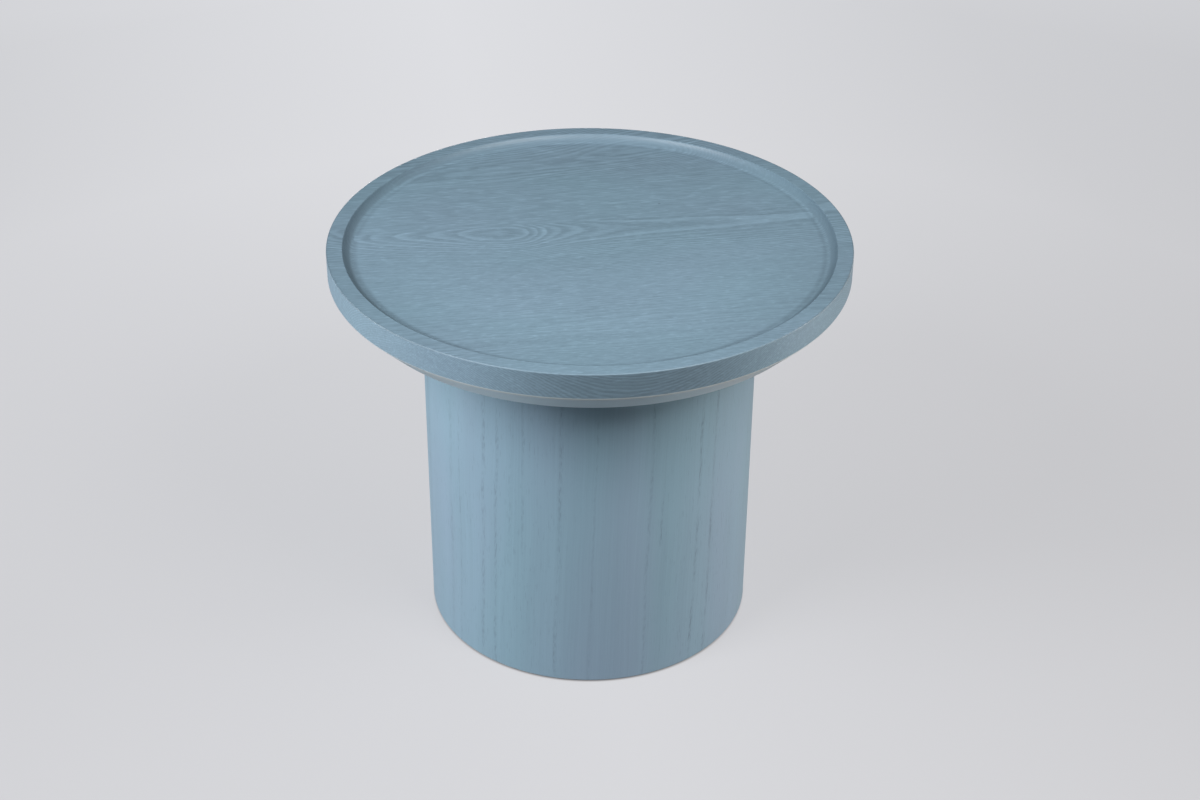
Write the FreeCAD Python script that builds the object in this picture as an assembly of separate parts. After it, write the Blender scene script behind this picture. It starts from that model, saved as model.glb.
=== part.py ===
import FreeCAD, Part
import math
import os

# Drum side table: a dished round top of edge-glued solid ash on a hollow veneered drum.
# Millimetres. The floor is z = 0, +Z runs up the drum's axis, and the top's boards lie along X.

# Overall sizes
table_height = 450.0
top_diameter = 550.0
drum_diameter = 358.0  # over the veneer

# Turned profile of the top
rim_face_height = 27.5  # upright band round the rim
under_bevel_height = 25.0  # bevel from the rim's foot in to the underside
under_bevel_width = 25.0
rim_chamfer = 1.5  # eased outer edge of the lip
lip_width = 17.0  # flat raised edge round the tray
recess_depth = 8.0  # tray floor below the lip
cove_radius = 13.0  # hollow curve from the lip down to the tray floor
board_count = 5

# Drum wall: two moulded plywood half shells under one wrap of veneer
foot_gap = 2.5  # the drum's foot above the floor
veneer_thickness = 0.6
veneer_seam_gap = 0.2  # hairline butt seam at the back
shell_thickness = 12.0
rebate_depth = 5.0  # housing cut inside both ends of the shells
spline_thickness = 4.0
spline_width = 20.0
spline_end_distance = 12.0  # from each rebate to the spline's end

# Plywood plate and ring housed in the rebates
top_plate_thickness = 18.0
base_ring_thickness = 18.0
base_ring_width = 72.0  # from the rebate in to the access hole

# Coach screws from the plate up into the top
screw_count = 4
screw_diameter = 6.0
screw_reach = 25.0  # into the top
screw_head_width = 10.0  # across the flats of the hexagon
screw_head_height = 4.0
screw_edge_distance = 45.0  # from the plate's edge in to the screw circle
slot_travel = 6.0  # lets the top swell and shrink across its grain
washer_diameter = 18.0
washer_thickness = 1.6

# Dowel that centres the top on the plate
dowel_diameter = 12.0
dowel_reach = 14.0  # into the top

# Felt pads let into the base ring
pad_count = 4
pad_diameter = 26.0
pad_seat_depth = 3.0
pad_edge_distance = 6.0  # from the ring's edge in to the pad

# Fits
glue_fit = 0.1  # room for glue round a housed piece, on each side
thread_fit = 0.1  # plain shank to the plain hole that stands for its thread
screw_clearance = 0.3  # round a screw that passes freely
drill_room = 2.0  # blind holes run this much past what they hold

# Levels and radii that follow from the sizes above
top_radius = top_diameter / 2
top_thickness = rim_face_height + under_bevel_height
underside = table_height - top_thickness
tray_floor = table_height - recess_depth
lip_radius = top_radius - lip_width
drum_radius = drum_diameter / 2
veneer_bore = drum_radius - veneer_thickness
shell_radius = veneer_bore - glue_fit
shell_bore = shell_radius - shell_thickness
rebate_radius = shell_bore + rebate_depth
plate_radius = rebate_radius - glue_fit
plate_underside = underside - top_plate_thickness
washer_underside = plate_underside - washer_thickness
ring_top = foot_gap + base_ring_thickness
ring_bore = plate_radius - base_ring_width
pad_radius = pad_diameter / 2
pad_top = foot_gap + pad_seat_depth
dowel_radius = dowel_diameter / 2
screw_radius = screw_diameter / 2

up = FreeCAD.Vector(0, 0, 1)
origin = FreeCAD.Vector(0, 0, 0)


def circle_spots(count, radius, first_angle):
    spots = []
    for index in range(count):
        angle = math.radians(first_angle + 360.0 * index / count)
        spots.append(FreeCAD.Vector(radius * math.cos(angle), radius * math.sin(angle), 0))
    return spots


screw_spots = circle_spots(screw_count, plate_radius - screw_edge_distance, 180.0 / screw_count)
pad_spots = circle_spots(pad_count, plate_radius - pad_edge_distance - pad_radius, 180.0 / pad_count)


def section(radius, height):
    # A point of a half section, in the XZ plane.
    return FreeCAD.Vector(radius, 0, height)


def turned(outline, angle=360.0):
    # Closed half section turned about the drum's axis.
    wire = Part.makePolygon(outline + outline[:1])
    return Part.Face(wire).revolve(origin, up, angle)


def rod(spot, radius, low, high):
    return Part.makeCylinder(radius, high - low, FreeCAD.Vector(spot.x, spot.y, low), up)


def at_spots(solid, spots):
    copies = []
    for spot in spots:
        copies.append(solid.translated(spot))
    return Part.makeCompound(copies)


def turned_top():
    # The whole round before it is parted into boards. The cove leaves the lip at a slope
    # and runs out level into the tray floor.
    cove_angle = math.acos(1 - recess_depth / cove_radius)
    floor_radius = lip_radius - cove_radius * math.sin(cove_angle)
    cove_middle = section(
        floor_radius + cove_radius * math.sin(cove_angle / 2),
        tray_floor + cove_radius * (1 - math.cos(cove_angle / 2)),
    )
    lip_edge = section(lip_radius, table_height)
    floor_edge = section(floor_radius, tray_floor)
    outside = Part.makePolygon([
        floor_edge,
        section(0, tray_floor),
        section(0, underside),
        section(top_radius - under_bevel_width, underside),
        section(top_radius, underside + under_bevel_height),
        section(top_radius, table_height - rim_chamfer),
        section(top_radius - rim_chamfer, table_height),
        lip_edge,
    ])
    cove = Part.Arc(lip_edge, cove_middle, floor_edge).toShape()
    return Part.Face(Part.Wire(outside.Edges + [cove])).revolve(origin, up, 360.0)


def drilled_top():
    # Blind holes in the underside for the coach screws and the dowel.
    holes = [rod(origin, dowel_radius + glue_fit, underside, underside + dowel_reach + drill_room)]
    for spot in screw_spots:
        holes.append(rod(spot, screw_radius + thread_fit, underside, underside + screw_reach + drill_room))
    return turned_top().cut(holes)


def top_boards():
    # Glue joints run along X, evenly spaced across the round. The outer strips run past the rim.
    top = drilled_top()
    board_width = top_diameter / board_count
    boards = {}
    for index in range(board_count):
        front = -top_radius + index * board_width
        back = front + board_width
        if index == 0:
            front -= board_width
        if index == board_count - 1:
            back += board_width
        corner = FreeCAD.Vector(-top_diameter, front, underside)
        strip = Part.makeBox(2 * top_diameter, back - front, top_thickness, corner)
        boards["top_board_" + str(index + 1)] = top.common(strip)
    return boards


def drum_veneer():
    # One sheet wrapped round the drum, butted at the back.
    seam_angle = math.degrees(veneer_seam_gap / drum_radius)
    sheet = turned([
        section(veneer_bore, foot_gap),
        section(drum_radius, foot_gap),
        section(drum_radius, underside),
        section(veneer_bore, underside),
    ], 360.0 - seam_angle)
    return sheet.rotated(origin, up, 90.0 + seam_angle / 2)


def seam_spline(room):
    # The spline in the seam at +X, or its groove when it is given room.
    middle = shell_radius - shell_thickness / 2
    thickness = spline_thickness + 2 * room
    width = spline_width + 2 * room
    low = ring_top + spline_end_distance - room
    high = plate_underside - spline_end_distance + room
    corner = FreeCAD.Vector(middle - thickness / 2, -width / 2, low)
    return Part.makeBox(thickness, width, high - low, corner)


def drum_shell():
    # Back half shell. Its rebates take the plate and the ring, its seam edges the splines.
    half = turned([
        section(rebate_radius, foot_gap),
        section(shell_radius, foot_gap),
        section(shell_radius, underside),
        section(rebate_radius, underside),
        section(rebate_radius, plate_underside),
        section(shell_bore, plate_underside),
        section(shell_bore, ring_top),
        section(rebate_radius, ring_top),
    ], 180.0)
    groove = seam_spline(glue_fit)
    return half.cut([groove, groove.rotated(origin, up, 180.0)])


def screw_slot(spot):
    # Slot across the grain of the top, centred on the screw.
    half_width = screw_radius + screw_clearance
    ends = []
    for side in (-1, 1):
        end = spot + FreeCAD.Vector(0, side * slot_travel / 2, 0)
        ends.append(rod(end, half_width, plate_underside, underside))
    corner = FreeCAD.Vector(spot.x - half_width, spot.y - slot_travel / 2, plate_underside)
    return Part.makeBox(2 * half_width, slot_travel, top_plate_thickness, corner).fuse(ends)


def top_plate():
    cuts = [rod(origin, dowel_radius + glue_fit, plate_underside, underside)]
    for spot in screw_spots:
        cuts.append(screw_slot(spot))
    return rod(origin, plate_radius, plate_underside, underside).cut(cuts)


def base_ring():
    # The hole in the middle gives a hand and a spanner access to the coach screws.
    cuts = [rod(origin, ring_bore, foot_gap, ring_top)]
    for spot in pad_spots:
        cuts.append(rod(spot, pad_radius + glue_fit, foot_gap, pad_top))
    return rod(origin, plate_radius, foot_gap, ring_top).cut(cuts)


def centre_dowel():
    # Through the plate and up into the middle board.
    return rod(origin, dowel_radius, plate_underside, underside + dowel_reach)


def washer():
    disc = rod(origin, washer_diameter / 2, washer_underside, plate_underside)
    return disc.cut(rod(origin, screw_radius + screw_clearance, washer_underside, plate_underside))


def coach_screw():
    # Hexagon head under the washer and a plain shank in place of the thread.
    shank = rod(origin, screw_radius, washer_underside, underside + screw_reach)
    corner_reach = screw_head_width / 2 / math.cos(math.radians(30.0))
    corners = circle_spots(6, corner_reach, 0.0)
    hexagon = Part.Face(Part.makePolygon(corners + corners[:1]))
    head = hexagon.extrude(up * screw_head_height)
    return shank.fuse(head.translated(up * (washer_underside - screw_head_height))).removeSplitter()


def felt_pad():
    return rod(origin, pad_radius, 0, pad_top)


def table():
    shell = drum_shell()
    spline = seam_spline(0)
    nodes = top_boards()
    nodes["drum_veneer"] = drum_veneer()
    nodes["drum_shell_back"] = shell
    nodes["drum_shell_front"] = shell.rotated(origin, up, 180.0)
    nodes["seam_spline_right"] = spline
    nodes["seam_spline_left"] = spline.rotated(origin, up, 180.0)
    nodes["top_plate"] = top_plate()
    nodes["base_ring"] = base_ring()
    nodes["centre_dowel"] = centre_dowel()
    nodes["coach_screws"] = at_spots(coach_screw(), screw_spots)
    nodes["screw_washers"] = at_spots(washer(), screw_spots)
    nodes["felt_pads"] = at_spots(felt_pad(), pad_spots)
    return nodes


os.makedirs("parts", exist_ok=True)
for name, shape in table().items():
    shape.exportStep(os.path.join("parts", name + ".step"))
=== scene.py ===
import math
from functools import partial

import bpy
from mathutils import Euler, Matrix, Vector


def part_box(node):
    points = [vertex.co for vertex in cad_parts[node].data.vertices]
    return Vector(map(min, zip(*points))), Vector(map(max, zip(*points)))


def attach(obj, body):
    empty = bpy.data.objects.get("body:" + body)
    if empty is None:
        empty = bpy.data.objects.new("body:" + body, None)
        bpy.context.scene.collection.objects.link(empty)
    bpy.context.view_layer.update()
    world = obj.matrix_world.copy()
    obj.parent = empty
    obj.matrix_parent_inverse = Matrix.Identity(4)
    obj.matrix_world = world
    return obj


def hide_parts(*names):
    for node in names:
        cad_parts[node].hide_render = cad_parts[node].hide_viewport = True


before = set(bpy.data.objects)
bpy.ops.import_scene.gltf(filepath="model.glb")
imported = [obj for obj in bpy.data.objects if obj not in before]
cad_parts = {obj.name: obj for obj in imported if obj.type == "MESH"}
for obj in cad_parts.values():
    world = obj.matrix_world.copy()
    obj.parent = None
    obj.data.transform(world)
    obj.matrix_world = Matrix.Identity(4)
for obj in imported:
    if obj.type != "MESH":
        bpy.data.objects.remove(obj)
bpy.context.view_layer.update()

mm = 0.001
print("frame loaded,", len(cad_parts), "nodes")


# Modelling steps that several pieces share
mergeReach = 0.001  # mm, corners nearer to each other than this become one
spotReach = 0.01  # mm, a corner this near to a place is the one at that place
drillRunOut = 1.0  # mm, a drill starts this far outside the wood
drillSides = 48


def setMode(mode):
    bpy.ops.object.mode_set(mode=mode)


def selectMesh(action):
    bpy.ops.mesh.select_all(action=action)


def faceOutwards():
    # Last step of a closed mesh in edit mode
    selectMesh("SELECT")
    bpy.ops.mesh.normals_make_consistent(inside=False)
    setMode("OBJECT")


def deselectAll():
    if bpy.context.mode != "OBJECT":
        setMode("OBJECT")
    bpy.ops.object.select_all(action="DESELECT")


def makeActive(piece):
    deselectAll()
    piece.select_set(True)
    bpy.context.view_layer.objects.active = piece


def nameNew(name):
    piece = bpy.context.object
    piece.name = name
    piece.data.name = name
    return piece


def pickVerts(piece, wanted):
    # Edit mode with only the wanted corners selected
    setMode("OBJECT")
    for item in [*piece.data.polygons, *piece.data.edges]:
        item.select = False
    for vert in piece.data.vertices:
        vert.select = wanted(vert.co)
    setMode("EDIT")
    bpy.ops.mesh.select_mode(type="VERT")


def mergeDoubles():
    selectMesh("SELECT")
    bpy.ops.mesh.remove_doubles(threshold=mergeReach * mm)


def drawSection(name, corners):
    # Half section in the XZ plane: one corner, extruded from point to point. Radius and height in mm.
    deselectAll()
    bpy.ops.mesh.primitive_plane_add(size=mm)
    piece = nameNew(name)
    setMode("EDIT")
    bpy.ops.mesh.select_mode(type="VERT")
    bpy.ops.mesh.merge(type="CENTER")
    bpy.ops.transform.translate(value=(corners[0][0] * mm, 0, corners[0][1] * mm))
    for last, corner in zip(corners, corners[1:]):
        step = ((corner[0] - last[0]) * mm, 0, (corner[1] - last[1]) * mm)
        bpy.ops.mesh.extrude_region_move(TRANSFORM_OT_translate={"value": step})
    return piece


def easeCorner(piece, corner, reach, steps):
    # Rounds one corner of a section. Reach is how far along its two edges the round starts, in mm.
    spot = Vector((corner[0], 0, corner[1])) * mm
    pickVerts(piece, lambda co: (co - spot).length < spotReach * mm)
    bpy.ops.mesh.bevel(affect="VERTICES", offset=reach * mm, segments=steps)


def turnSection(piece, steps, degrees=360.0):
    # Spins a section about the table's axis. A part turn gets a face at each end.
    selectMesh("SELECT")
    bpy.ops.mesh.spin(steps=steps, angle=math.radians(degrees), center=(0, 0, 0), axis=(0, 0, 1))
    mergeDoubles()
    if degrees < 360:
        selectMesh("DESELECT")
        bpy.ops.mesh.select_non_manifold()
        bpy.ops.mesh.edge_face_add()
    faceOutwards()


def turnPiece(name, corners, eases, turnSteps, easeSteps=4):
    # A turned piece: its section, the corners to ease with their reach, and the spin
    piece = drawSection(name, corners)
    mergeDoubles()
    for corner, reach in eases:
        easeCorner(piece, corner, reach, easeSteps)
    turnSection(piece, turnSteps)
    return piece


def smoothPiece(piece, angle=40):
    # Flats stay flat and rounds carry the shading
    makeActive(piece)
    bpy.ops.object.shade_smooth_by_angle(angle=math.radians(angle))
    evenOut = piece.modifiers.new("flatsFirst", "WEIGHTED_NORMAL")
    evenOut.keep_sharp = True
    bpy.ops.object.modifier_apply(modifier=evenOut.name)


def copyPiece(piece, name, shift=(0, 0, 0)):
    # A copy with its own mesh, moved in its mesh. Shift in mm.
    makeActive(piece)
    bpy.ops.object.duplicate(linked=False)
    copied = nameNew(name)
    setMode("EDIT")
    selectMesh("SELECT")
    bpy.ops.transform.translate(value=Vector(shift) * mm)
    setMode("OBJECT")
    return copied


def drillHole(piece, spot, radius, face, depth):
    # Round hole drilled up into a level face, in mm
    low = face - drillRunOut
    high = face + depth
    deselectAll()
    bpy.ops.mesh.primitive_cylinder_add(
        vertices=drillSides,
        radius=radius * mm,
        depth=(high - low) * mm,
        location=(spot[0] * mm, spot[1] * mm, (low + high) / 2 * mm),
    )
    drill = nameNew("drill")
    makeActive(piece)
    hole = piece.modifiers.new("hole", "BOOLEAN")
    hole.operation = "DIFFERENCE"
    hole.object = drill
    bpy.ops.object.modifier_apply(modifier=hole.name)
    bpy.data.objects.remove(drill)


def levelsOf(node):
    # Lowest and highest level of a node, in mm
    low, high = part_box(node)
    return low.z / mm, high.z / mm


def fourSpots(node, reach):
    # The four places of a repeated piece, each reach inside a corner of its node's box, in mm
    low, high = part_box(node)
    sides = (low.x / mm + reach, high.x / mm - reach)
    return [(x, y) for x in sides for y in sides]


def dress(piece, material):
    piece.data.materials.clear()
    piece.data.materials.append(material)


def seatPiece(piece, node, material):
    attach(piece, "root")
    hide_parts(node)
    dress(piece, material)


# Material steps

def colour(hexText):
    # sRGB hex to the linear values that a shader takes
    channels = [int(hexText[start:start + 2], 16) / 255 for start in (1, 3, 5)]
    linear = [c / 12.92 if c <= 0.04045 else ((c + 0.055) / 1.055) ** 2.4 for c in channels]
    return (*linear, 1.0)


def plugIn(node, inputs):
    # A list fills the inputs in the order in which the node shows them, a dictionary by name or number.
    # An input takes a value, a socket, or a node's first live output.
    pairs = inputs.items() if isinstance(inputs, dict) else enumerate(inputs)
    for name, value in pairs:
        if isinstance(value, bpy.types.Node):
            value = next(out for out in value.outputs if out.enabled)
        if isinstance(value, bpy.types.NodeSocket):
            node.id_data.links.new(value, node.inputs[name])
        else:
            node.inputs[name].default_value = value


def addNode(nodes, kind, inputs=(), operation=None, **settings):
    # One node with its settings and links. MapRange lists its value, from where to where, and to what.
    node = nodes.new("ShaderNode" + kind)
    if operation:
        node.operation = operation
    for name, value in settings.items():
        setattr(node, name, value)
    plugIn(node, inputs)
    return node


def startMaterial(name):
    # A material, addNode for its own nodes, and its shader
    material = bpy.data.materials.new(name)
    material.use_nodes = True
    nodes = material.node_tree.nodes
    return material, partial(addNode, nodes), nodes["Principled BSDF"]


def placeInMm(add):
    coords = add("TexCoord")
    return add("VectorMath", {0: coords.outputs["Object"], "Scale": 1 / mm}, "SCALE")


def grainOf(add, place, size, detail=2.0, rough=0.55, start=(0.0, 0.0, 0.0)):
    # Soft noise whose grains measure size, in mm along X, Y and Z
    scale = [1 / length for length in size]
    fitted = add("VectorMath", [place, scale, start], "MULTIPLY_ADD")
    return add("TexNoise", {"Vector": fitted, "Scale": 1.0, "Detail": detail, "Roughness": rough})


def weighTones(add, start, tones):
    # A start and several patterns, each as (pattern, its middle, how far it moves the sum)
    offset = -sum(middle * weight for _, middle, weight in tones)
    if isinstance(start, float):
        total = start + offset
    else:
        total = add("Math", [start, offset], "ADD")
    for pattern, _, weight in tones:
        total = add("Math", [pattern, weight, total], "MULTIPLY_ADD")
    return total


# Blue-grey stain and satin lacquer, shared by the solid top and the drum's veneer
blueStain = {
    "tealHex": "#7c9bab",
    "violetHex": "#8299ad",
    "driftSpan": (0.3, 0.7),  # of the slow noise that moves it between the two
    "driftStart": (3.1, 7.7, 0.4),
    "bevelLitHex": "#cee3ec",  # painted light on the under-bevel, where light thrown up from the floor falls
    "arrisGlintHex": "#d6dad8",  # painted highlight along the arris between rim and bevel
    "roughness": 0.45,
    "roughSwing": 0.06,  # how far the grain moves that
    "bevelRoughness": 0.28,
    "lacquerDip": 0.10,  # mm, how far the lacquer sinks into the open grain
    "dipStrength": 0.3,
}


def stainColour(add, place, size, tone, swing):
    # The stain's two hues drift into each other, then take the tone of the wood under them. Swing is how far
    # the mix moves from half and half.
    drift = grainOf(add, place, size, 1.0, start=blueStain["driftStart"])
    share = add("MapRange", [drift, *blueStain["driftSpan"], 0.5 - swing, 0.5 + swing])
    tints = {0: share, 6: colour(blueStain["tealHex"]), 7: colour(blueStain["violetHex"])}
    hue = add("Mix", tints, data_type="RGBA")
    return add("VectorMath", {0: hue, "Scale": tone}, "SCALE")


def satinLacquer(add, grain, pores):
    # Its roughness follows the grain, and its surface dips into the pores
    mean, swing = blueStain["roughness"], blueStain["roughSwing"]
    gloss = add("MapRange", [grain, 0, 1, mean - swing, mean + swing])
    relief = weighTones(add, 0.5, [(grain, 0.5, 0.5), (pores, 0.0, -1.0)])
    dip = {"Height": relief, "Strength": blueStain["dipStrength"], "Distance": blueStain["lacquerDip"] * mm}
    return gloss, add("Bump", dip)


# Top: one turned blank, drilled from below and parted into five boards
tableTop = {
    "bevelWidth": 25.0,  # mm, under-bevel measured across
    "bevelHeight": 25.0,
    "lipWidth": 17.0,
    "recessDepth": 8.0,
    "coveRadius": 13.0,
    "coveSteps": 12,
    "rimEase": 1.3,  # outer edge of the lip
    "lipEase": 1.0,  # inner edge of the lip
    "arrisEase": 1.2,  # where the rim meets the bevel
    "footEase": 0.7,  # where the bevel meets the underside
    "easeSteps": 5,
    "turnSteps": 360,
    "boards": 5,
    "dowelHole": 6.1,  # radius
    "dowelDepth": 16.0,
    "screwHole": 3.1,
    "screwDepth": 27.0,
}
# Growth rings of each board, front to back. The pith line runs along X below the tray floor, at pithAcross
# in Y, bowed by bow x (x - bowAt) squared, and as deep as the points (x, depth) say. Pins are small knots at
# (x, y). All in mm. Real fibres are finer than a millimetre, and are drawn wider to show from the camera.
boardFigures = [
    {
        "pithAcross": -190.0, "bow": 0.00005, "bowAt": -40.0, "depths": [(-275, 52), (0, 49), (275, 53)],
        "ringWidth": 1.7, "ringTone": 0.12, "fibreWidth": 2.0,
    },
    {
        "pithAcross": -178.0, "bow": -0.00006, "bowAt": 30.0, "depths": [(-275, 92), (275, 86)],
        "ringWidth": 2.4, "ringTone": 0.10, "fibreWidth": 2.5,
    },
    {
        "pithAcross": 31.7, "bow": 0.00015, "bowAt": 110.0,
        "depths": [
            (-275, 52), (-235, 46.6), (-212, 43.9), (-142, 38.5), (-100, 35.2), (-75, 35.8), (-58, 38.8),
            (-45, 42.5), (-30, 45.5), (0, 48.6), (36, 50.8), (80, 51.5), (122, 51.6), (177, 52.5),
            (275, 53.2),
        ],
        "ringWidth": 2.7, "ringTone": 0.24, "fibreWidth": 2.4,
    },
    {
        "pithAcross": 196.0, "bow": 0.00004, "bowAt": 0.0, "depths": [(-275, 84), (275, 96)],
        "ringWidth": 2.5, "ringTone": 0.12, "fibreWidth": 3.6, "pins": [(89, 84)],
    },
    {
        "pithAcross": 172.0, "bow": 0.00038, "bowAt": -295.0,
        "depths": [(-275, 63), (-100, 61.5), (3, 60), (43, 57.3), (100, 55), (275, 52)],
        "ringWidth": 2.7, "ringTone": 0.25, "fibreWidth": 3.8,
    },
]
# Patterns of the solid ash. A span is where a pattern starts to show and where it shows in full.
ashGrain = {
    "sways": [((210, 46, 46), 4.0), ((34, 9, 9), 1.2)],  # mm, size of the rings' waves and how far they sway
    "ringShift": (5.3, 2.9, 0.0),  # from one board's waves to the next one's
    "lateSpan": (0.15, 0.80),  # share of a ring over which its pale latewood line builds up
    "closeSpan": (0.86, 1.0),  # and over which it breaks off
    "faintest": 0.45,  # weakest of those lines
    "grainShift": (1.7, 3.1, 0.0),  # from one board's fibres to the next one's
    "fibre": (7.0, 1.0, 1.0),  # along X, Y and Z, in fibre widths
    "tick": (4.0, 0.8, 0.8),  # short pale flecks among the fibres
    "tickSpan": (0.56, 0.70),
    "cloud": (190, 60, 60),  # mm
    "pore": (9, 0.7, 0.7),  # mm. Real pores are 0.3 mm wide, too fine to show at this distance.
    "poreSpan": (0.62, 0.74),
    "earlySpan": (0.5, 0.1),  # share of a ring that holds the pores
    "pinReach": (0.6, 1.8),  # mm, over which a pin knot fades
    "pinTone": 0.65,
    "drift": (170.0, 102.0, 102.0),  # mm, how slowly the stain's hue wanders
    "hueSwing": 0.15,
}
topLow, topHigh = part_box("top_board_3")
topRadius = topHigh.x / mm
topLevel = topHigh.z / mm
underside = topLow.z / mm
trayLevel = topLevel - tableTop["recessDepth"]
# How far the cove's arc turns, and the radius at which it runs out into the tray floor
coveTurn = math.acos(1 - tableTop["recessDepth"] / tableTop["coveRadius"])
coveFoot = topRadius - tableTop["lipWidth"] - tableTop["coveRadius"] * math.sin(coveTurn)


def turnTop():
    rimFoot = (topRadius, underside + tableTop["bevelHeight"])
    bevelFoot = (topRadius - tableTop["bevelWidth"], underside)
    rimEdge = (topRadius, topLevel)
    lipEdge = (topRadius - tableTop["lipWidth"], topLevel)
    blank = drawSection("turnedTop", [(0, underside), bevelFoot, rimFoot, rimEdge, lipEdge])
    coveCentre = (coveFoot * mm, 0, (trayLevel + tableTop["coveRadius"]) * mm)
    bpy.ops.mesh.spin(steps=tableTop["coveSteps"], angle=coveTurn, center=coveCentre, axis=(0, -1, 0))
    bpy.ops.mesh.extrude_region_move(TRANSFORM_OT_translate={"value": (-coveFoot * mm, 0, 0)})
    eases = {"footEase": bevelFoot, "arrisEase": rimFoot, "rimEase": rimEdge, "lipEase": lipEdge}
    for ease, corner in eases.items():
        easeCorner(blank, corner, tableTop[ease], tableTop["easeSteps"])
    turnSection(blank, tableTop["turnSteps"])
    drillHole(blank, (0, 0), tableTop["dowelHole"], underside, tableTop["dowelDepth"])
    for spot in fourSpots("screw_washers", coachScrew["washerRadius"]):
        drillHole(blank, spot, tableTop["screwHole"], underside, tableTop["screwDepth"])
    return blank


def partBoards(blank):
    width = 2 * topRadius / tableTop["boards"]
    for number, figure in enumerate(boardFigures, 1):
        board = copyPiece(blank, "topBoard" + str(number))
        front = -topRadius + (number - 1) * width
        setMode("EDIT")
        for level, keepsBack in ((front, True), (front + width, False)):
            if abs(level) > topRadius - width / 2:
                continue  # the round side of the first and the last board
            selectMesh("SELECT")
            bpy.ops.mesh.bisect(
                plane_co=(0, level * mm, 0),
                plane_no=(0, 1, 0),
                use_fill=True,
                clear_inner=keepsBack,
                clear_outer=not keepsBack,
            )
        setMode("OBJECT")
        smoothPiece(board)
        node = "top_board_" + str(number)
        seatPiece(board, node, stainedAsh("stainedAshBoard" + str(number), figure, number))
    bpy.data.objects.remove(blank)


def growthRings(add, place, spot, figure, number):
    # Count of rings from the pith, so that any cut through the board shows its true arcs
    along, across, height = spot.outputs
    fromBow = add("Math", [along, figure["bowAt"]], "SUBTRACT")
    squared = add("Math", [fromBow, fromBow], "MULTIPLY")
    pith = add("Math", [squared, figure["bow"], figure["pithAcross"]], "MULTIPLY_ADD")
    sideways = add("Math", [across, pith], "SUBTRACT")
    share = add("MapRange", [along, -topRadius, topRadius])
    curve = add("FloatCurve", {"Value": share})
    points = curve.mapping.curves[0].points  # a new curve has two
    deepest = max(depth for _, depth in figure["depths"])
    for index, (x, depth) in enumerate(figure["depths"]):
        where = (0.5 + x / (2 * topRadius), depth / deepest)
        if index < 2:
            points[index].location = where
        else:
            points.new(*where)
    curve.mapping.update()
    rise = add("Math", [height, trayLevel], "SUBTRACT")
    abovePith = add("Math", [curve, deepest, rise], "MULTIPLY_ADD")
    ray = add("CombineXYZ", {"Y": sideways, "Z": abovePith})
    radius = add("VectorMath", [ray], "LENGTH")
    shift = [number * step for step in ashGrain["ringShift"]]
    sways = []
    for size, sway in ashGrain["sways"]:
        sways.append((grainOf(add, place, size, 1.0, start=shift), 0.5, sway))
    wandered = weighTones(add, radius, sways)
    return add("Math", [wandered, figure["ringWidth"]], "DIVIDE")


def stainedAsh(name, figure, number):
    # Solid ash, turned, sanded, stained and lacquered. The eye gets flat, broad, blue-grey wood with quiet
    # cathedral arches and pin-thin paler latewood lines, dark pores as short dashes, rim faces darkened by
    # painted shade, and painted light on bevel and arris.
    material, add, shader = startMaterial(name)
    place = placeInMm(add)
    spot = add("SeparateXYZ", [place])
    rings = growthRings(add, place, spot, figure, number)
    phase = add("Math", [rings], "FRACT")
    count = add("Math", [rings], "FLOOR")
    vigour = add("TexWhiteNoise", {"W": count}, noise_dimensions="1D")
    late = add("MapRange", [phase, *ashGrain["lateSpan"]], interpolation_type="SMOOTHERSTEP")
    close = add("MapRange", [phase, *ashGrain["closeSpan"], 1, 0])
    strength = add("MapRange", [vigour, 0, 1, ashGrain["faintest"], 1])
    shift = [number * step for step in ashGrain["grainShift"]]
    width = figure["fibreWidth"]
    fibre = grainOf(add, place, [share * width for share in ashGrain["fibre"]], 3.0, 0.62, shift)
    tickNoise = grainOf(add, place, [share * width for share in ashGrain["tick"]], 1.0, 0.5, shift)
    ticks = add("MapRange", [tickNoise, *ashGrain["tickSpan"]])
    cloud = grainOf(add, place, ashGrain["cloud"], 2.0, 0.5, shift)
    poreNoise = grainOf(add, place, ashGrain["pore"], 1.0, 0.5, shift)
    poreCut = add("MapRange", [poreNoise, *ashGrain["poreSpan"]])
    early = add("MapRange", [phase, *ashGrain["earlySpan"]])
    pores = add("Math", [poreCut, early], "MULTIPLY")
    shade, boldness, calm, bevel, arris = turnedTones(add, spot)
    ringLine = late
    for part in (close, strength, boldness):
        ringLine = add("Math", [ringLine, part], "MULTIPLY")
    fibreMiddle = 0.5
    tickMiddle = 0.2
    evenFibre = add("Mix", {"Factor": calm, "A": fibre, "B": fibreMiddle})
    evenTicks = add("Mix", {"Factor": calm, "A": ticks, "B": tickMiddle})
    tones = [
        (ringLine, 0.35, figure["ringTone"]),
        (evenFibre, fibreMiddle, 0.50),
        (evenTicks, tickMiddle, 0.16),
        (cloud, 0.5, 0.12),
        (pores, 0.1, -0.16),
    ]
    darkening = [shade]
    for x, y in figure.get("pins", ()):
        away = add("VectorMath", [place, (x, y, trayLevel)], "DISTANCE")
        darkening.append(add("MapRange", [away, *ashGrain["pinReach"], ashGrain["pinTone"]]))
    tone = weighTones(add, 1.0, tones)
    for part in darkening:
        tone = add("Math", [tone, part], "MULTIPLY")
    tint = stainColour(add, place, ashGrain["drift"], tone, ashGrain["hueSwing"])
    # painted light on the bevel, and a painted highlight along the arris
    for litShare, hexName in ((bevel, "bevelLitHex"), (arris, "arrisGlintHex")):
        tint = add("Mix", {0: litShare, 6: tint, 7: colour(blueStain[hexName])}, data_type="RGBA")
    gloss, dips = satinLacquer(add, evenFibre, pores)
    rubbed = add("Mix", {"Factor": bevel, "A": gloss, "B": blueStain["bevelRoughness"]})
    plugIn(shader, {"Base Color": tint, "Roughness": rubbed, "Normal": dips})
    return material
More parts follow.
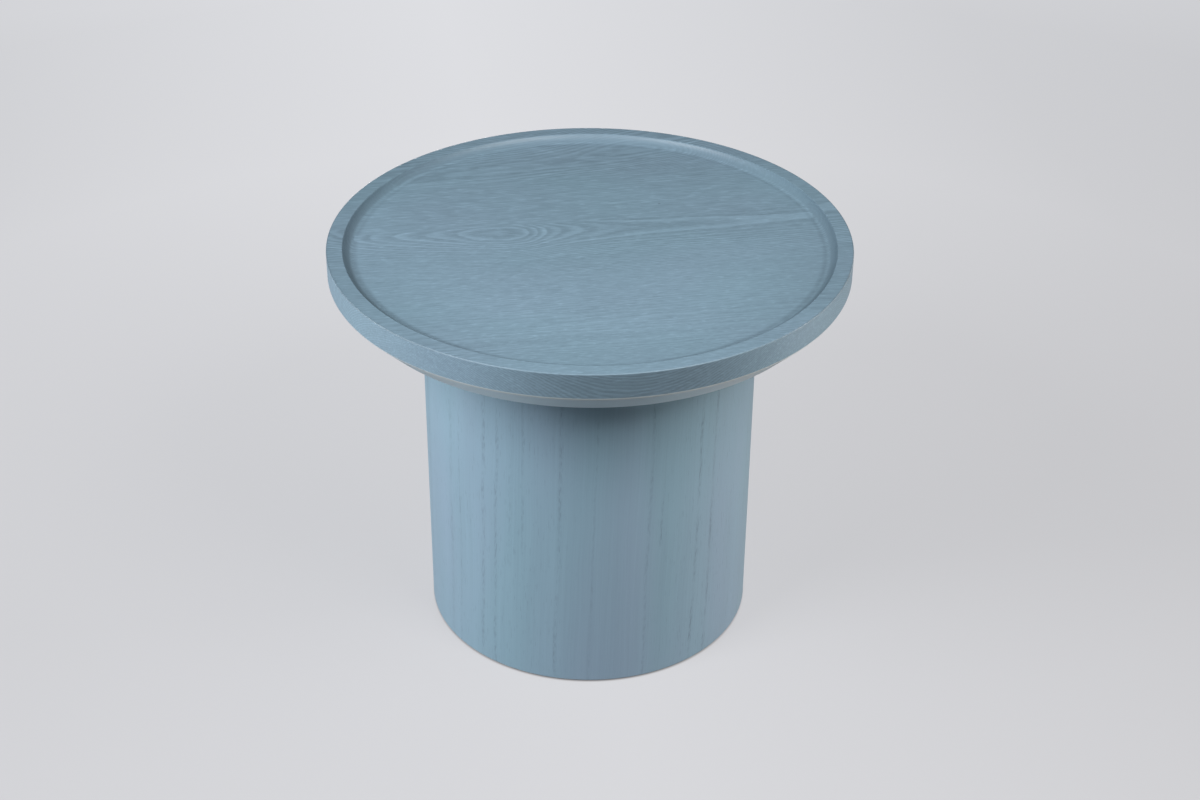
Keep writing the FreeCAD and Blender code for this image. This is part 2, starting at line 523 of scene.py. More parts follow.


# How the stain takes on the turned faces against its tone on the tray, how the ring lines show, and the
# painted
# shade and painted light laid over that: darker rim, ends, cove, cove foot and tray front, and paler bevel
# and arris at the front. Slopes are parts of a face's normal, and the other spans are places in mm along Y or
# up.
turned = {
    "upright": (0.5, 0.1),  # slope from a laid face to an upright one
    "endways": (0.15, 0.65),  # slope from along the grain to across it
    "rimShade": (0.56, 0.85),  # painted shade on the upright rim: its tone at front and back, and where it cuts the ends of the grain
    "raised": (trayLevel, trayLevel + 1.5),  # from the tray up to lip and cove
    "lipEnds": 82.5,  # mm, from here outwards along X the lip cuts the ends of the grain
    "endGrain": (-0.3, 1.6),  # what the slope adds to that
    "endShade": (0.90, 0.955),  # those ends are darker, partly as end grain that drinks more stain and partly as painted shade, less at the back right
    "backShare": 0.6,  # of Y in that direction
    "backRight": (123.75, 261.25),
    "footShade": (0.78, 0.94),  # painted shade along the cove's foot, at the front and at the back
    "footReach": (0.5, 4.0),  # mm
    "frontShade": (0.87, 0.94),  # painted shade along the front, on the tray and on cove and lip
    "frontRing": 180.0,  # mm from the middle, where it starts
    "frontSpan": (41.25, -110.0),
    "topSpan": (trayLevel - 2.0, trayLevel - 1.0),  # keeps it off the bevel
    "hollow": (0.98, 0.92),  # slope from level to the cove's curve
    # painted shade in the cove
    "coveShade": 0.93,
    "coveCalm": 0.65,  # how far the fibres fade there
    "rimLines": 2.2,  # strength of the ring lines on the rim, in the cove and on the lip
    "coveLines": 0.35,
    "lipLines": 1.5,
    "lipSpan": (topLevel - 1.0, topLevel - 0.3),
    "sideSpan": (-220.0, -165.0),  # from the front of the rim to its sides
    "under": (-0.1, -0.5),  # slope from the rim to the bevel
    "bevelLight": (0.85, 0.55),  # share of the painted light on the bevel, at the front and at the sides
    # share of the painted highlight along the arris, at the front and at the sides
    "arrisGlint": (0.60, 0.20),
    "arrisReach": (1.2, 2.4),  # mm
    "edgeShade": 0.86,  # painted shade on the round outer edge of the lip, at the sides
    "edgeBlur": 0.4,  # mm
}


def turnedTones(add, spot):
    # Tone of the stain with its painted shade, boldness of the ring lines, how far fibres fade, and how far
    # painted light covers bevel and arris
    along, across, height = spot.outputs
    normal = add("SeparateXYZ", [add("TexCoord").outputs["Normal"]])
    endways = add("Math", [normal.outputs["X"]], "ABSOLUTE")
    level = add("Math", [normal.outputs["Z"]], "ABSOLUTE")
    flat = add("CombineXYZ", [along, across])
    outward = add("VectorMath", [flat], "LENGTH")
    # Rim: painted shade, darkest at front and back
    upright = add("MapRange", [level, *turned["upright"]])
    laid = add("MapRange", [level, *reversed(turned["upright"])])
    rimCut = [endways, *turned["endways"], *turned["rimShade"]]
    rim = add("MapRange", rimCut, interpolation_type="SMOOTHSTEP")
    rimShade = add("Mix", {"Factor": upright, "A": 1.0, "B": rim})
    # End grain of lip and cove, darker from stain and from painted shade
    aboveTray = add("MapRange", [height, *turned["raised"]])
    raised = add("Math", [aboveTray, laid], "MULTIPLY")
    aside = add("Math", [along], "ABSOLUTE")
    lipEnd = add("MapRange", [aside, turned["lipEnds"], topRadius])
    endGrain = weighTones(add, lipEnd, [(endways, *turned["endGrain"])])
    endDarkening = add("Math", [raised, endGrain], "MULTIPLY")
    backRight = add("Math", [across, turned["backShare"], along], "MULTIPLY_ADD")
    endDarkest = add("MapRange", [backRight, *turned["backRight"], *turned["endShade"]])
    endShade = add("MapRange", [endDarkening, 0, 1, 1, endDarkest], clamp=False)
    # Foot of the cove: painted shade along it
    fromFoot = add("Math", [outward, coveFoot], "SUBTRACT")
    corner = add("Math", [fromFoot], "ABSOLUTE")
    footShadeDepth = add("MapRange", [across, -topRadius, topRadius, *turned["footShade"]])
    footShade = add("MapRange", [corner, *turned["footReach"], footShadeDepth])
    # Front of tray, cove and lip: painted shade
    ahead = add("MapRange", [across, *turned["frontSpan"]])
    onTop = add("MapRange", [height, *turned["topSpan"]])
    frontShadeMask = add("MapRange", [outward, turned["frontRing"], coveFoot])
    for part in (ahead, onTop, laid):
        frontShadeMask = add("Math", [frontShadeMask, part], "MULTIPLY")
    deepest = add("MapRange", [raised, 0, 1, *turned["frontShade"]])
    frontShade = add("MapRange", [frontShadeMask, 0, 1, 1, deepest])
    # Cove with painted shade, and the ring lines
    curved = add("MapRange", [level, *turned["hollow"]])
    hollow = add("Math", [curved, raised], "MULTIPLY")
    coveShade = add("MapRange", [hollow, 0, 1, 1, turned["coveShade"]])
    calm = add("Math", [hollow, turned["coveCalm"]], "MULTIPLY")
    boldness = add("MapRange", [upright, 0, 1, 1, turned["rimLines"]])
    coveLines = add("MapRange", [hollow, 0, 1, 1, turned["coveLines"]])
    lipLines = add("MapRange", [height, *turned["lipSpan"], 1, turned["lipLines"]])
    for part in (coveLines, lipLines):
        boldness = add("Math", [boldness, part], "MULTIPLY")
    # Bevel and arris: painted light on the bevel and a painted highlight on the arris, most at the front
    aroundSide = add("MapRange", [across, *turned["sideSpan"]])
    bevelLitShare = add("MapRange", [aroundSide, 0, 1, *turned["bevelLight"]])
    bevel = add("MapRange", [normal.outputs["Z"], *turned["under"], 0, bevelLitShare])
    arrisLevel = underside + tableTop["bevelHeight"] - tableTop["arrisEase"]
    fromArris = add("Math", [height, arrisLevel], "SUBTRACT")
    nearArris = add("Math", [fromArris], "ABSOLUTE")
    glintShare = add("MapRange", [aroundSide, 0, 1, *turned["arrisGlint"]])
    arris = add("MapRange", [nearArris, *turned["arrisReach"], glintShare, 0])
    # Round outer edge of the lip: painted shade at the sides
    edgeShadeMask = aroundSide
    for reach, limit in ((outward, topRadius), (height, topLevel)):
        start = limit - tableTop["rimEase"]
        inRound = add("MapRange", [reach, start - turned["edgeBlur"], start])
        edgeShadeMask = add("Math", [edgeShadeMask, inRound], "MULTIPLY")
    edgeShade = add("MapRange", [edgeShadeMask, 0, 1, 1, turned["edgeShade"]])
    shade = rimShade
    for tone in (endShade, frontShade, footShade, coveShade, edgeShade):
        shade = add("Math", [shade, tone], "MULTIPLY")
    return shade, boldness, calm, bevel, arris


# Drum: one sheet of veneer, butted at the back
veneer = {
    "thickness": 0.6,  # mm
    "seamGap": 0.2,
    "edgeEase": 0.25,  # sanded outer arris at both ends
    "easeSteps": 3,
    "turnSteps": 300,
    "footToTopLight": (0.98, 1.10),  # stain's tone against the top's, at the foot and at the top: darker at the foot, and painted light that lifts it towards the top
    "lean": 0.028,  # the grain leans this much to +X as it climbs
    "wander": (70, 130, 1),  # mm, size of its slow waves
    "sway": 7.0,  # mm, how far they move it
    "fine": (1.9, 240, 1),  # mm, fine lines and broad bands, across and up
    "band": (24, 500, 1),
    "cluster": (9, 48, 1),  # where pores crowd together
    "clusterSpan": (0.38, 0.62),
    "drift": (85.0, 340.0, 1.0),  # mm, how slowly the stain's hue wanders
    "hueSwing": 0.4,
    "poreLine": 1.4,  # mm from one line of pores to the next. Real ones are finer than the camera shows.
    "grooveSpan": (0.05, 0.35),  # share of that over which a pore's side falls
    "lineShift": 17.3,  # from where one line's pores start to the next one's
    # Loose pores and the shorter ones that make up a streak: length in mm, then detail and roughness of the
    # noise that breaks them
    "poreRuns": [(24.0, 2.0, 0.6), (11.0, 1.0, 0.5)],
    "looseSpan": (0.60, 0.76),
    "streakSpan": (0.42, 0.62),
    "closeGrain": (30.0, 90.0, 0.2),  # mm off the front over which loose pores set in, and their share there
    "streakCore": (0.15, 0.65),  # shares of a streak's width over which it fades
    "streakEnd": 0.7,  # share of its half length at which its ends start
    # Dark mineral streaks: degrees from the front towards +X, width in mm, strength, lowest and highest in mm
    "streaks": [
        (-64.0, 7.0, 0.40, -50, 450), (-58.8, 2.6, 0.50, -50, 450), (-47.2, 4.6, 0.80, -50, 450),
        (-41.8, 4.4, 0.60, -50, 450), (-36.5, 5.0, 0.30, 130, 300), (-31.8, 3.6, 0.50, 150, 450),
        (-18.8, 4.4, 0.55, -50, 450), (-7.2, 3.0, 0.35, -50, 450), (11.7, 4.4, 0.45, -50, 450),
        (16.2, 2.2, 1.00, 165, 257), (31.2, 4.6, 0.95, -50, 450), (38.0, 4.0, 0.90, -50, 450),
        (63.0, 3.4, 0.55, -50, 450), (79.0, 5.2, 0.70, 40, 450), (86.5, 2.4, 0.60, -50, 330),
        (108.0, 4.4, 0.85, -50, 450), (127.0, 3.0, 0.50, 90, 450), (133.5, 4.8, 0.75, -50, 450),
        (158.0, 2.6, 0.60, -50, 290), (-84.0, 4.6, 0.65, -50, 450), (-99.0, 2.8, 0.80, 120, 360),
        (-117.0, 4.2, 0.70, -50, 450), (-122.5, 3.2, 0.55, -50, 260), (-146.0, 5.0, 0.60, -50, 450),
        (-169.0, 3.6, 0.80, -50, 450),
    ],
}
drumLow, drumHigh = levelsOf("drum_veneer")
drumRadius = max(vert.co.xy.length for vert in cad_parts["drum_veneer"].data.vertices) / mm


def wrapVeneer():
    inner = drumRadius - veneer["thickness"]
    outside = [(drumRadius, drumLow), (drumRadius, drumHigh)]
    corners = [(inner, drumLow), *outside, (inner, drumHigh), (inner, drumLow)]
    sheet = drawSection("drumVeneer", corners)
    mergeDoubles()
    for corner in outside:
        easeCorner(sheet, corner, veneer["edgeEase"], veneer["easeSteps"])
    seamTurn = math.degrees(veneer["seamGap"] / drumRadius)
    selectMesh("SELECT")
    bpy.ops.transform.rotate(
        value=-math.radians(90 + seamTurn / 2), orient_axis="Z", center_override=(0, 0, 0)
    )
    turnSection(sheet, veneer["turnSteps"], 360 - seamTurn)
    smoothPiece(sheet)
    seatPiece(sheet, "drum_veneer", stainedVeneer())


def mineralStreaks(add, grainLine, height):
    # The strongest streak at each place
    coreStart, coreEnd = veneer["streakCore"]
    strongest = 0.0
    for degrees, width, strength, lowest, highest in veneer["streaks"]:
        line = math.radians(degrees) * drumRadius
        half = (highest - lowest) / 2
        fromLine = add("Math", [grainLine, line], "SUBTRACT")
        offLine = add("Math", [fromLine], "ABSOLUTE")
        core = add("MapRange", [offLine, coreStart * width, coreEnd * width, strength, 0])
        fromMiddle = add("Math", [height, (lowest + highest) / 2], "SUBTRACT")
        offMiddle = add("Math", [fromMiddle], "ABSOLUTE")
        reach = add("MapRange", [offMiddle, half, half * veneer["streakEnd"]])
        streak = add("Math", [core, reach], "MULTIPLY")
        strongest = add("Math", [streak, strongest], "MAXIMUM")
    return strongest


def stainedVeneer():
    # Sliced ash veneer, pressed round the drum with its grain upright and stained with the top. The eye gets
    # fine upright lines, broad soft bands, and a few dark streaks that are chains of short pores.
    material, add, shader = startMaterial("stainedAshVeneer")
    right, back, height = add("SeparateXYZ", [placeInMm(add)]).outputs
    forward = add("Math", [back, -1.0], "MULTIPLY")
    turn = add("Math", [right, forward], "ARCTAN2")
    arc = add("Math", [turn, drumRadius], "MULTIPLY")
    climb = add("Math", [height, (drumLow + drumHigh) / 2], "SUBTRACT")
    leaned = add("Math", [climb, -veneer["lean"], arc], "MULTIPLY_ADD")
    straight = add("CombineXYZ", [leaned, height])
    wander = grainOf(add, straight, veneer["wander"], 1.0)
    grainLine = weighTones(add, leaned, [(wander, 0.5, veneer["sway"])])
    sheet = add("CombineXYZ", [grainLine, height])
    fine = grainOf(add, sheet, veneer["fine"], 4.0, 0.65)
    band = grainOf(add, sheet, veneer["band"], 2.0, 0.5, (4.2, 0.0, 0.0))
    cluster = grainOf(add, sheet, veneer["cluster"], 2.0, 0.6, (1.3, 5.5, 0.0))
    # Pores lie in lines, each broken along its length by a noise of its own
    lane = add("Math", [grainLine, veneer["poreLine"]], "DIVIDE")
    number = add("Math", [lane], "FLOOR")
    inLane = add("Math", [lane, 0.5], "PINGPONG")
    groove = add("MapRange", [inLane, *veneer["grooveSpan"]])
    runs = []
    for length, detail, rough in veneer["poreRuns"]:
        along = add("Math", [height, length], "DIVIDE")
        start = add("Math", [number, veneer["lineShift"], along], "MULTIPLY_ADD")
        noise = {"W": start, "Scale": 1.0, "Detail": detail, "Roughness": rough}
        runs.append(add("TexNoise", noise, noise_dimensions="1D"))
    looseRun, streakRun = runs
    # Dark dashes in the streaks, and loose pores that thin out towards the front, where the grain is close
    dashes = add("MapRange", [streakRun, *veneer["streakSpan"], 0.25])
    crowd = add("MapRange", [cluster, *veneer["clusterSpan"], 0.15])
    for part in (groove, crowd, mineralStreaks(add, grainLine, height)):
        dashes = add("Math", [dashes, part], "MULTIPLY")
    loose = add("MapRange", [looseRun, *veneer["looseSpan"]])
    offFront = add("Math", [grainLine], "ABSOLUTE")
    opened = add("MapRange", [offFront, *veneer["closeGrain"]])
    for part in (groove, opened):
        loose = add("Math", [loose, part], "MULTIPLY")
    tones = [(fine, 0.5, 0.22), (band, 0.5, 0.14), (dashes, 0.0, -0.60), (loose, 0.05, -0.15)]
    # painted light: paler towards the top, darker at the foot
    footToTopLight = add("MapRange", [height, drumLow, drumHigh, *veneer["footToTopLight"]])
    tone = weighTones(add, footToTopLight, tones)
    tint = stainColour(add, sheet, veneer["drift"], tone, veneer["hueSwing"])
    gloss, dips = satinLacquer(add, fine, loose)
    plugIn(shader, {"Base Color": tint, "Roughness": gloss, "Normal": dips})
    return material


# Plywood: the plate and the base ring are flat boards, the drum's half shells are moulded
birchPly = {
    "faceHex": "#d8bd92",
    "darkHex": "#b8935f",  # layers that turn their end grain
    "glueHex": "#7d5d3c",
    "layer": 1.5,  # mm
    "glueLine": 0.12,  # share of a layer
    "figure": (160, 6),  # mm, along and across the face's grain
    "figureTone": 0.35,
    "figureDip": 0.1,  # mm
    "roughness": (0.5, 0.7),
}


def layeredBirch(name, moulded):
    # Rotary-cut birch veneers glued crossways and sanded. The eye gets a pale, quiet face with long soft
    # figure, and fine light and dark stripes with glue lines on every cut edge.
    material, add, shader = startMaterial(name)
    place = placeInMm(add)
    right, back, height = add("SeparateXYZ", [place]).outputs
    normal = add("SeparateXYZ", [add("TexCoord").outputs["Normal"]])
    level = add("Math", [normal.outputs["Z"]], "ABSOLUTE")
    long, narrow = birchPly["figure"]
    if moulded:
        flat = add("CombineXYZ", [right, back])
        depth = add("VectorMath", [flat], "LENGTH")
        edge = level
        grain = grainOf(add, place, (narrow, narrow, long), 3.0)
    else:
        depth = height
        edge = add("Math", [1.0, level], "SUBTRACT")
        grain = grainOf(add, place, (long, narrow, narrow), 3.0)
    layers = add("Math", [depth, 2 * birchPly["layer"]], "DIVIDE")
    phase = add("Math", [layers], "FRACT")
    crossed = add("Math", [phase, 0.5], "GREATER_THAN")
    toGlue = add("Math", [layers, 0.5], "PINGPONG")
    glue = add("Math", [toGlue, birchPly["glueLine"] / 2], "LESS_THAN")
    tint = colour(birchPly["faceHex"])
    for stripe, hexName in ((crossed, "darkHex"), (glue, "glueHex")):
        onEdge = add("Math", [stripe, edge], "MULTIPLY")
        tint = add("Mix", {0: onEdge, 6: tint, 7: colour(birchPly[hexName])}, data_type="RGBA")
    tone = weighTones(add, 1.0, [(grain, 0.5, birchPly["figureTone"])])
    toned = add("VectorMath", {0: tint, "Scale": tone}, "SCALE")
    gloss = add("MapRange", [grain, 0, 1, *birchPly["roughness"]])
    dip = birchPly["figureDip"] * mm
    bump = add("Bump", {"Height": grain, "Strength": 0.3, "Distance": dip})
    plugIn(shader, {"Base Color": toned, "Roughness": gloss, "Normal": bump})
    return material


# Base ring: routed plywood with eased edges and a pocket for each pad
baseRing = {
    "boreEase": 2.0,  # mm
    "edgeEase": 0.5,
    "pocketRadius": 13.1,
    "pocketDepth": 3.0,
    "turnSteps": 192,
}


def routRing(plywood):
    reaches = [vert.co.xy.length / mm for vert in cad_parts["base_ring"].data.vertices]
    outer = max(reaches)
    bore = min(reaches)
    low, high = levelsOf("base_ring")
    corners = [(bore, low), (outer, low), (outer, high), (bore, high), (bore, low)]
    eases = [(corner, baseRing["boreEase"]) for corner in (corners[0], corners[3])]
    eases += [(corner, baseRing["edgeEase"]) for corner in corners[1:3]]
    ring = turnPiece("baseRing", corners, eases, baseRing["turnSteps"])
    for spot in fourSpots("felt_pads", feltPad["radius"]):
        drillHole(ring, spot, baseRing["pocketRadius"], low, baseRing["pocketDepth"])
    smoothPiece(ring)
    seatPiece(ring, "base_ring", plywood)


# Felt pads: punched discs with soft edges
feltPad = {
    "radius": 13.0,  # mm
    "rubbedEdge": 1.4,  # round where the pad meets the floor
    "cutEdge": 0.4,
    "turnSteps": 48,
    "hex": "#4c4b4c",
    "paleHex": "#6a696a",
    "tuft": (1.4, 0.84, 1.12),  # mm, a tuft of fibres, drawn coarser than real wool to show
    "tuftHeight": 0.4,
}


def woolFelt():
    # Pressed wool felt, punched from sheet. The eye gets a dull, hairy, dark grey with no gloss.
    material, add, shader = startMaterial("pressedWoolFelt")
    tuft = grainOf(add, placeInMm(add), feltPad["tuft"], 4.0, 0.7)
    tints = {0: tuft, 6: colour(feltPad["hex"]), 7: colour(feltPad["paleHex"])}
    tint = add("Mix", tints, data_type="RGBA")
    height = feltPad["tuftHeight"] * mm
    bump = add("Bump", {"Height": tuft, "Strength": 0.7, "Distance": height})
    plugIn(shader, {"Base Color": tint, "Normal": bump})
    plugIn(shader, {"Roughness": 0.95, "Specular IOR Level": 0.1, "Sheen Weight": 0.4})
    return material


def punchPads():
    low, high = levelsOf("felt_pads")
    radius = feltPad["radius"]
    corners = [(0, low), (radius, low), (radius, high), (0, high)]
    eases = [(corners[1], feltPad["rubbedEdge"]), (corners[2], feltPad["cutEdge"])]
    pattern = turnPiece("feltPad", corners, eases, feltPad["turnSteps"])
    smoothPiece(pattern)
    felt = woolFelt()
    for number, (x, y) in enumerate(fourSpots("felt_pads", radius), 1):
        pad = copyPiece(pattern, "feltPad" + str(number), (x, y, 0))
        seatPiece(pad, "felt_pads", felt)
    bpy.data.objects.remove(pattern)


# Coach screws and washers, which hold the top down on the plate
coachScrew = {
    "headFlats": 10.0,  # mm across
    "headChamfer": 0.5,
    "shankRadius": 3.0,
    "threadDepth": 0.7,
    "pitch": 2.5,
    "plainShank": 20.0,  # through the washer and the plate
    "shoulder": 0.5,  # where the plain shank runs into the thread
    "tipHeight": 4.6,
    "tipEase": 0.4,
    "turnSteps": 32,
    "washerRadius": 9.0,
    "washerHole": 3.3,
    "washerEase": 0.3,
    "washerSteps": 48,
    "hex": "#b9bec3",
    "blueHex": "#a3adb8",
    "spangle": 2.5,  # mm
    "roughness": (0.28, 0.48),
}


def platedSteel():
    # Steel, cold formed and bright zinc plated. The eye gets a cool silver with a faint blue cloud.
    material, add, shader = startMaterial("brightZincSteel")
    cloud = grainOf(add, placeInMm(add), [coachScrew["spangle"]] * 3, 2.0)
    tints = {0: cloud, 6: colour(coachScrew["hex"]), 7: colour(coachScrew["blueHex"])}
    tint = add("Mix", tints, data_type="RGBA")
    gloss = add("MapRange", [cloud, 0, 1, *coachScrew["roughness"]])
    plugIn(shader, {"Base Color": tint, "Metallic": 1.0, "Roughness": gloss})
    return material


def formHead(low, high):
    # Hexagon with a chamfered lower face
    deselectAll()
    halfTurn = math.radians(30)
    bpy.ops.mesh.primitive_cylinder_add(
        vertices=6,
        radius=coachScrew["headFlats"] / 2 / math.cos(halfTurn) * mm,
        depth=(high - low) * mm,
        location=(0, 0, (low + high) / 2 * mm),
        rotation=(0, 0, halfTurn),
    )
    head = nameNew("screwHead")
    bpy.ops.object.transform_apply(location=True, rotation=True, scale=True)
    setMode("EDIT")
    pickVerts(head, lambda co: co.z < (low + high) / 2 * mm)
    bpy.ops.mesh.bevel(affect="EDGES", offset=coachScrew["headChamfer"] * mm, segments=2)
    setMode("OBJECT")
    return head


def windThread(low, turns):
    # One pitch of the thread's outline, wound up the shank by the Screw modifier and closed at both ends
    pitch = coachScrew["pitch"]
    crest = coachScrew["shankRadius"]
    root = crest - coachScrew["threadDepth"]
    outline = [(root, low), (root, low + 0.5 * pitch), (crest, low + 0.75 * pitch), (root, low + pitch)]
    thread = drawSection("screwThread", outline)
    setMode("OBJECT")
    wind = thread.modifiers.new("wind", "SCREW")
    wind.steps = coachScrew["turnSteps"]
    wind.render_steps = coachScrew["turnSteps"]
    wind.screw_offset = pitch * mm
    wind.iterations = turns
    bpy.ops.object.modifier_apply(modifier=wind.name)
    setMode("EDIT")
    mergeDoubles()
    bpy.ops.mesh.fill_holes(sides=0)
    faceOutwards()
    return thread


def cutScrew(low, seat, tip):
    # Head below the washer, plain shank above it, then the thread and a short point
    shank = coachScrew["shankRadius"]
    root = shank - coachScrew["threadDepth"]
    plain = seat + coachScrew["plainShank"]
    shoulder = plain + coachScrew["shoulder"]
    pointFoot = tip - coachScrew["tipHeight"]
    head = formHead(low, seat)
    thread = windThread(plain, int((pointFoot - plain) / coachScrew["pitch"]))
    barrel = [(0, seat), (shank, seat), (shank, plain), (root, shoulder), (0, shoulder)]
    neck = turnPiece("screwNeck", barrel, [], coachScrew["turnSteps"])
    cone = [(0, pointFoot), (root, pointFoot), (0, tip)]
    point = turnPiece("screwPoint", cone, [(cone[2], coachScrew["tipEase"])], coachScrew["turnSteps"])
    makeActive(head)
    for part in (thread, neck, point):
        part.select_set(True)
    bpy.ops.object.join()
    smoothPiece(head, 30)
    return head


def driveScrews():
    low, high = levelsOf("screw_washers")
    screwLow, screwHigh = levelsOf("coach_screws")
    hole = coachScrew["washerHole"]
    radius = coachScrew["washerRadius"]
    screw = cutScrew(screwLow, low, screwHigh)
    steel = platedSteel()
    ring = [(hole, low), (radius, low), (radius, high), (hole, high)]
    eases = [(corner, coachScrew["washerEase"]) for corner in ring]
    washer = turnPiece("screwWasher", [*ring, ring[0]], eases, coachScrew["washerSteps"], 3)
    smoothPiece(washer)
    for number, (x, y) in enumerate(fourSpots("screw_washers", radius), 1):
        driven = copyPiece(screw, "coachScrew" + str(number), (x, y, 0))
        seatPiece(driven, "coach_screws", steel)
        disc = copyPiece(washer, "screwWasher" + str(number), (x, y, 0))
        seatPiece(disc, "screw_washers", steel)
    bpy.data.objects.remove(screw)
    bpy.data.objects.remove(washer)


# Centre dowel and the seam splines
beechWood = {
    "hex": "#c79c6e",
    "fleckHex": "#9a6f47",
    "fleck": (0.5, 0.5, 4.0),  # mm, ray flecks across and along the grain
    "fleckSpan": (0.58, 0.70),
    "fleckDip": 0.1,  # mm
    "bands": (9, 9, 300),  # mm
    "bandTone": 0.3,
    "dowelChamfer": 1.2,
    "turnSteps": 64,
}


def plainBeech():
    # Steamed beech, planed. The eye gets an even pinkish tan peppered with short dark ray flecks.
    material, add, shader = startMaterial("steamedBeech")
    place = placeInMm(add)
    fleckNoise = grainOf(add, place, beechWood["fleck"], 1.0)
    bands = grainOf(add, place, beechWood["bands"], 2.0)
    fleck = add("MapRange", [fleckNoise, *beechWood["fleckSpan"]])
    tints = {0: fleck, 6: colour(beechWood["hex"]), 7: colour(beechWood["fleckHex"])}
    tint = add("Mix", tints, data_type="RGBA")
    tone = weighTones(add, 1.0, [(bands, 0.5, beechWood["bandTone"])])
    toned = add("VectorMath", {0: tint, "Scale": tone}, "SCALE")
    dip = beechWood["fleckDip"] * mm
    bump = add("Bump", {"Height": fleck, "Strength": 0.2, "Distance": dip})
    plugIn(shader, {"Base Color": toned, "Roughness": 0.6, "Normal": bump})
    return material


def turnDowel(beech):
    low, high = levelsOf("centre_dowel")
    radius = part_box("centre_dowel")[1].x / mm
    corners = [(0, low), (radius, low), (radius, high), (0, high)]
    eases = [(corner, beechWood["dowelChamfer"]) for corner in corners[1:3]]
    dowel = turnPiece("centreDowel", corners, eases, beechWood["turnSteps"], 1)
    smoothPiece(dowel, 30)
    seatPiece(dowel, "centre_dowel", beech)


partBoards(turnTop())
print("top turned, drilled and parted")
wrapVeneer()
print("drum veneer wrapped")
flatPly = layeredBirch("flatBirchPly", False)
mouldedPly = layeredBirch("mouldedBirchPly", True)
beech = plainBeech()
dress(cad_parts["top_plate"], flatPly)
for side in ("front", "back"):
    dress(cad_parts["drum_shell_" + side], mouldedPly)
for side in ("left", "right"):
    dress(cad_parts["seam_spline_" + side], beech)
routRing(flatPly)
punchPads()
driveScrews()
turnDowel(beech)
print("base ring, pads, screws, washers and dowel made")

# Floor and light
studio = {
    "floorSize": 14.0,  # metres
    "floorHex": "#dedfe3",
    "floorGlow": (0.66, 0.94),  # how much of that shows without light, under the table and far behind it
    "behind": 1900.0,  # mm, how far behind
    "before": 1000.0,  # the glow starts to rise this far in front of the table as well
    "beside": 1200.0,  # and this far to its sides
    "rise": 2.0,  # this much faster there than behind it
    "sideGlow": (1.06, 0.94),  # share of that in the middle and to the sides
    "sideReach": 950.0,  # mm
    "footEdge": (-4.0, 1.0),  # mm from the drum's outside. The glow stops there, so the gap under it is dark.
    "glossShare": 0.3,  # of the glow in reflections
    # What the floor throws back at the table, and what takes the table's shadow over the glow, each close by
    # and further off, and the mm over which the one turns into the other
    "bounceHex": ("#99999e", "#252526"),
    "bounceReach": (450.0, 800.0),
    "shadeHex": ("#6a6a6c", "#000000"),
    "shadeReach": (1200.0, 1900.0),
    "aim": (0.0, 0.0, 0.3),  # metres
    # Degrees round from the front to +X, degrees up, metres off, width and height in metres, watts, colour
    "lamps": {
        "highLeft": (-59, 39, 2.0, 0.9, 0.9, 34.0, "#ffffff"),
        "highRight": (31, 47, 2.0, 0.9, 0.9, 29.0, "#fffbf7"),
        "lowLeft": (-94, -2, 3.0, 1.2, 0.4, 40.5, "#ffffff"),
        "lowRight": (81, -2, 3.0, 1.2, 0.4, 48.5, "#fff5ec"),
        "backLeft": (-118, -2, 3.0, 1.2, 0.4, 11.3, "#ffffff"),
        "backRight": (118, -2, 3.0, 1.2, 0.4, 11.3, "#fff5ec"),
        "lowBack": (180, -2, 3.0, 1.2, 0.4, 26.0, "#ffffff"),
    },
    "worldHex": "#dfe0e3",
    "worldLevel": (0.02, 0.88),  # as light on the table, and as the camera sees it
}


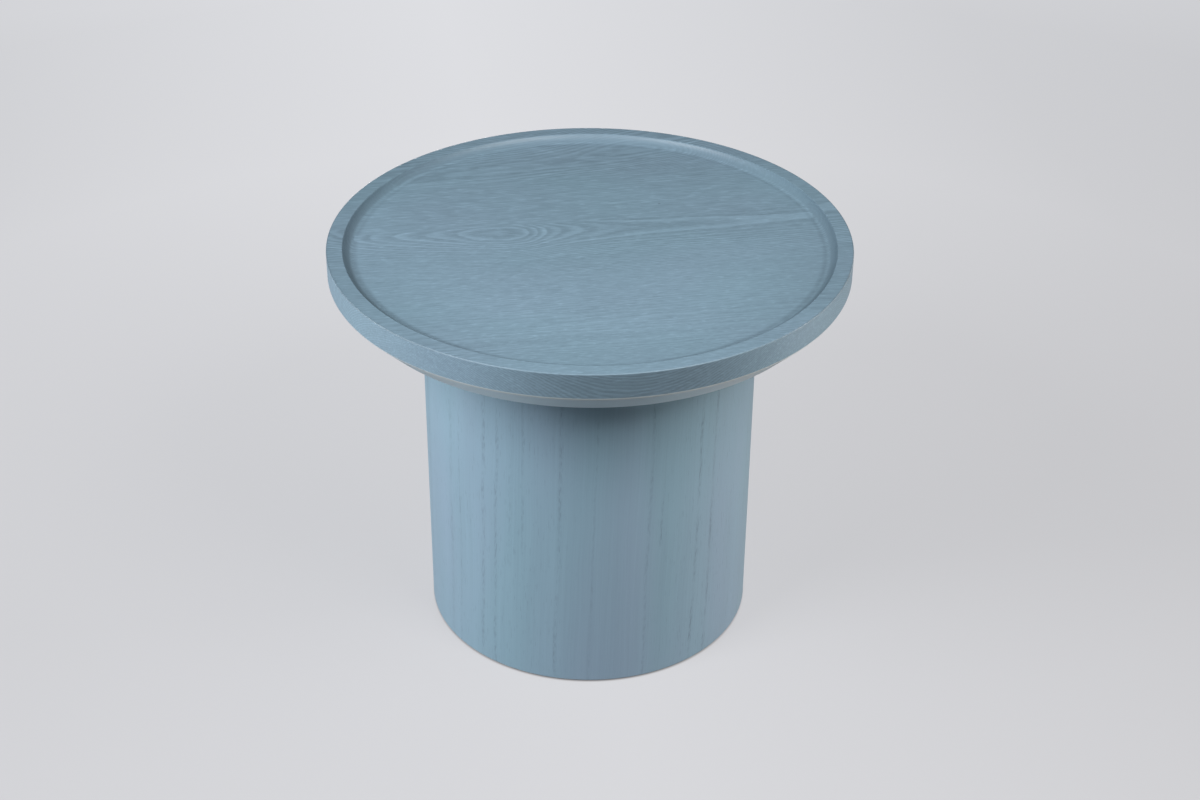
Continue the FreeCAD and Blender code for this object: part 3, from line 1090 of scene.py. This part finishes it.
def layFloor():
    # Pale painted board. The camera, and any gloss, sees it near white with the table's soft shadow on it.
    # The gap under the drum's foot stays dark.
    deselectAll()
    bpy.ops.mesh.primitive_plane_add(size=studio["floorSize"])
    floor = nameNew("studioFloor")
    material, add, shader = startMaterial("palePaintedBoard")
    place = placeInMm(add)
    right, back, _ = add("SeparateXYZ", [place]).outputs
    outward = add("VectorMath", [place], "LENGTH")
    path = add("LightPath").outputs
    glossy = [path["Is Glossy Ray"], studio["glossShare"], path["Is Camera Ray"]]
    seen = add("Math", glossy, "MULTIPLY_ADD")
    paints = []
    for use in ("bounce", "shade"):
        closeHex, farHex = studio[use + "Hex"]
        off = add("MapRange", [outward, *studio[use + "Reach"]])
        paints.append(add("Mix", {0: off, 6: colour(closeHex), 7: colour(farHex)}, data_type="RGBA"))
    tint = add("Mix", {0: seen, 6: paints[0], 7: paints[1]}, data_type="RGBA")
    # The glow rises away from the table on all sides
    rise = studio["rise"]
    aside = add("Math", [right], "ABSOLUTE")
    beside = add("Math", [aside, rise, -rise * studio["beside"]], "MULTIPLY_ADD")
    before = add("Math", [back, -rise, -rise * studio["before"]], "MULTIPLY_ADD")
    nearer = add("Math", [back, beside], "MAXIMUM")
    away = add("Math", [nearer, before], "MAXIMUM")
    glow = add("MapRange", [away, 0, studio["behind"], *studio["floorGlow"]])
    falloff = add("MapRange", [aside, 0, studio["sideReach"], *studio["sideGlow"]])
    outside = add("MapRange", [outward, *(drumRadius + edge for edge in studio["footEdge"])])
    for part in (falloff, outside, seen):
        glow = add("Math", [glow, part], "MULTIPLY")
    plugIn(shader, {"Base Color": tint, "Emission Strength": glow})
    plugIn(shader, {"Emission Color": colour(studio["floorHex"])})
    plugIn(shader, {"Roughness": 0.9, "Specular IOR Level": 0.0})
    floor.data.materials.append(material)


def hangLamps():
    aim = Vector(studio["aim"])
    for name, (turn, lift, distance, width, height, watts, tint) in studio["lamps"].items():
        turn = math.radians(turn)
        lift = math.radians(lift)
        reach = Vector((math.sin(turn) * math.cos(lift), -math.cos(turn) * math.cos(lift), math.sin(lift)))
        bpy.ops.object.light_add(type="AREA", location=aim + distance * reach)
        light = bpy.context.object
        light.name = name + "Softbox"
        light.data.shape = "RECTANGLE"
        light.data.size = width
        light.data.size_y = height
        light.data.energy = watts
        light.data.color = colour(tint)[:3]
        light.rotation_euler = (-reach).to_track_quat("-Z", "Y").to_euler()


def lightWorld():
    # The camera sees a pale backdrop. The table gets next to no light from it.
    world = bpy.data.worlds.new("studioWorld")
    world.use_nodes = True
    nodes = world.node_tree.nodes
    seen = addNode(nodes, "LightPath").outputs["Is Camera Ray"]
    level = addNode(nodes, "MapRange", [seen, 0, 1, *studio["worldLevel"]])
    plugIn(nodes["Background"], {"Color": colour(studio["worldHex"]), "Strength": level})
    bpy.context.scene.world = world


photoCamera = {
    "place": (-0.2970, -1.9094, 1.4608),  # metres
    "tiltDown": 32.073,  # degrees below level
    "heading": 9.187,  # degrees from +Y towards +X
    "roll": 0.467,
    "lens": 62.3,  # mm
    "sensor": 36.0,  # mm wide
}


def placeCamera():
    bpy.ops.object.camera_add()
    camera = bpy.context.object
    camera.name = "photoCamera"
    camera.data.lens = photoCamera["lens"]
    camera.data.sensor_width = photoCamera["sensor"]
    tilt = math.radians(90 - photoCamera["tiltDown"])
    aim = Euler((tilt, 0, -math.radians(photoCamera["heading"]))).to_matrix().to_4x4()
    roll = Matrix.Rotation(math.radians(photoCamera["roll"]), 4, "Z")
    camera.matrix_world = Matrix.Translation(photoCamera["place"]) @ aim @ roll
    bpy.context.scene.camera = camera


layFloor()
hangLamps()
lightWorld()
placeCamera()
bpy.context.scene.view_settings.view_transform = "Standard"
print("studio set")
